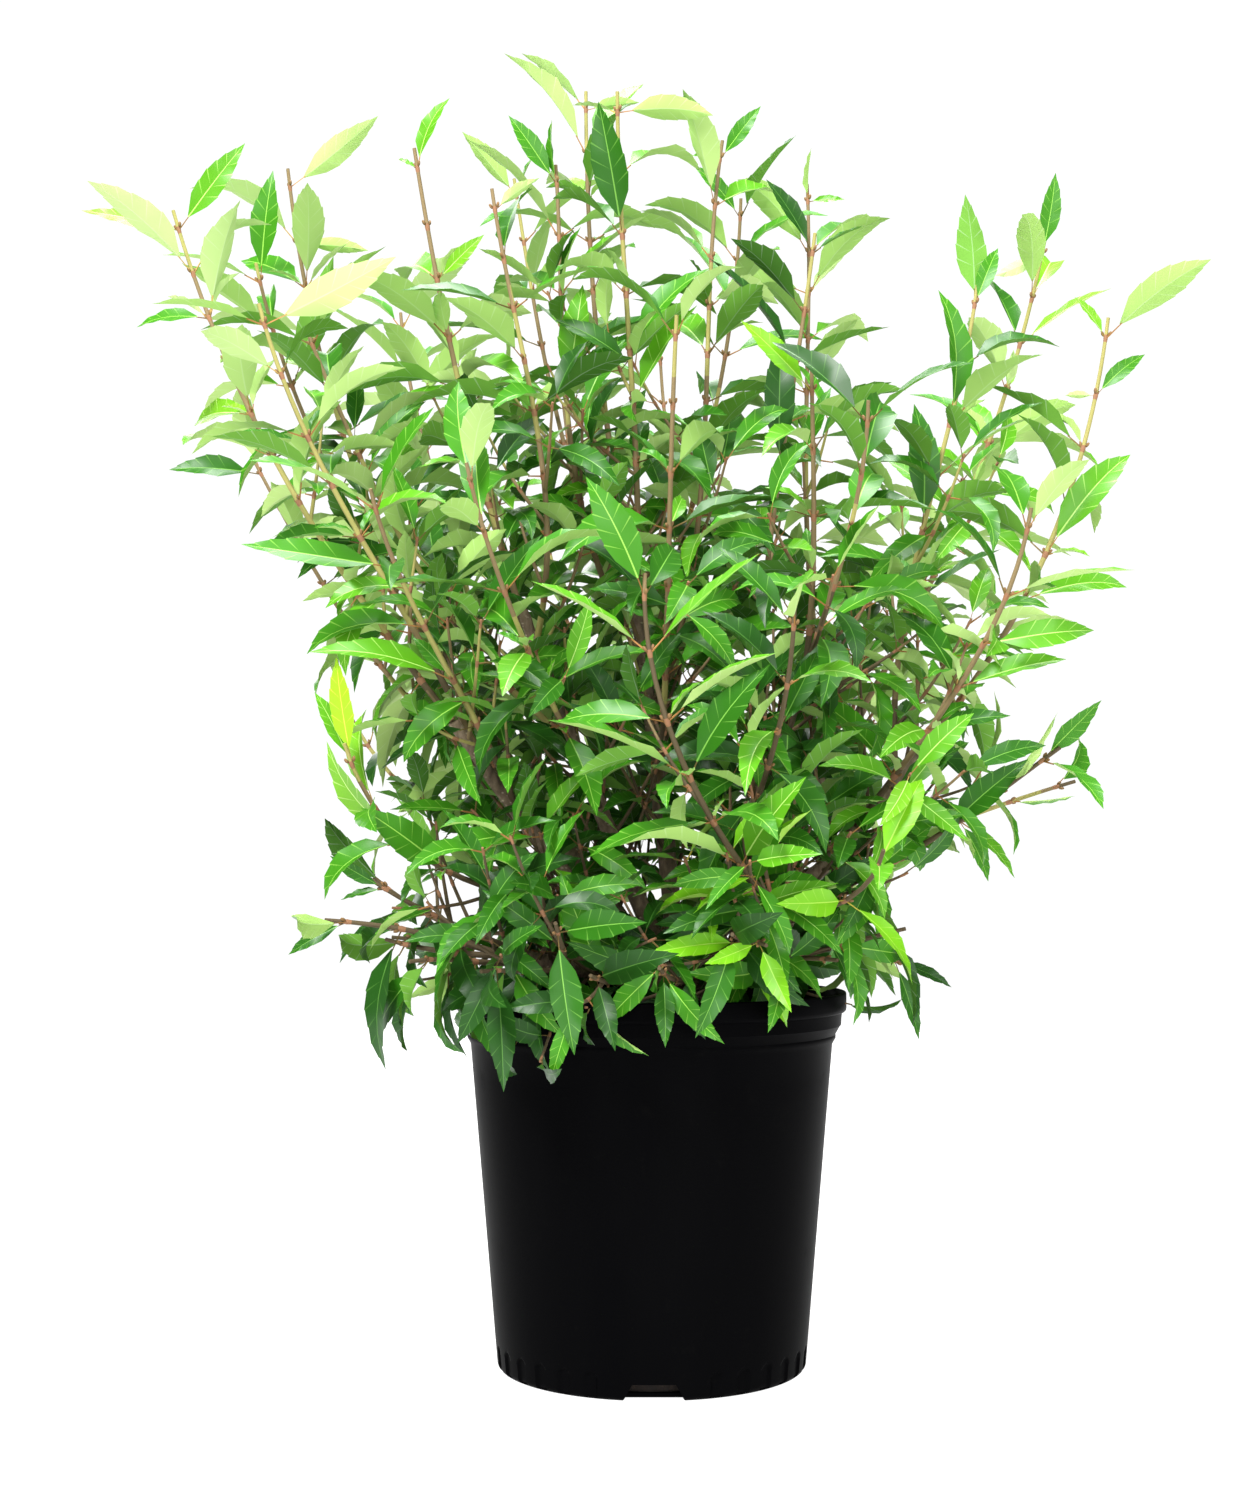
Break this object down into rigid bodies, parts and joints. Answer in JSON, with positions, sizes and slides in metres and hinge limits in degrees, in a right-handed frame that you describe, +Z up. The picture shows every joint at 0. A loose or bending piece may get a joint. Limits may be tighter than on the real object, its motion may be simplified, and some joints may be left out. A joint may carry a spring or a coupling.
{
  "type": "potted forsythia shrub",
  "caption": "Leafy deciduous shrub of upright arching shoots from a low root crown, growing in a round black nursery pot that stands on its flat underside.",
  "frame": {"origin": "the middle of the pot's flat underside", "axes": "+Z up, -Y towards the viewer of the picture, +X to the viewer's right"},
  "size_m": [0.6426, 0.5574, 0.8052],
  "materials": {
    "black_plastic": "satin moulded",
    "potting_mix": "crumbly, matt",
    "bark": "rough bark",
    "foliage": "leaf, satin"
  },
  "bodies": {
    "root": {"bough_back": "bark", "bough_back_left": "bark", "bough_back_right": "bark", "bough_centre": "bark", "bough_centre_left": "bark", "bough_centre_right": "bark", "bough_front": "bark", "bough_left": "bark", "bough_low_back": "bark", "bough_low_left": "bark", "bough_low_right": "bark", "bough_right": "bark", "pot": "black_plastic", "potting_mix": "potting_mix", "root_crown": "bark", "shoot_back_left": "foliage", "shoot_back_left_low": "foliage", "shoot_back_low": "foliage", "shoot_back_middle": "foliage", "shoot_back_outer": "foliage", "shoot_back_right": "foliage", "shoot_back_top_left": "foliage", "shoot_back_top_right": "foliage", "shoot_front": "foliage", "shoot_front_left": "foliage", "shoot_front_left_low": "foliage", "shoot_front_low": "foliage", "shoot_front_right": "foliage", "shoot_front_right_low": "foliage", "shoot_front_right_outer": "foliage", "shoot_front_upper": "foliage", "shoot_left_back": "foliage", "shoot_left_front": "foliage", "shoot_left_inner": "foliage", "shoot_left_low": "foliage", "shoot_left_middle": "foliage", "shoot_left_outer": "foliage", "shoot_left_rear": "foliage", "shoot_left_short": "foliage", "shoot_left_tall": "foliage", "shoot_middle_front": "foliage", "shoot_middle_left": "foliage", "shoot_middle_right": "foliage", "shoot_right_back_top": "foliage", "shoot_right_front": "foliage", "shoot_right_inner": "foliage", "shoot_right_low": "foliage", "shoot_right_low_front": "foliage", "shoot_right_middle": "foliage", "shoot_right_outer": "foliage", "shoot_right_rear": "foliage", "shoot_right_tall": "foliage", "shoot_rim_back": "foliage", "shoot_rim_back_right": "foliage", "shoot_rim_front": "foliage", "shoot_rim_front_right": "foliage", "shoot_rim_left": "foliage", "shoot_rim_left_back": "foliage", "shoot_rim_right": "foliage", "shoot_top": "foliage"}
  },
  "joints": []
}
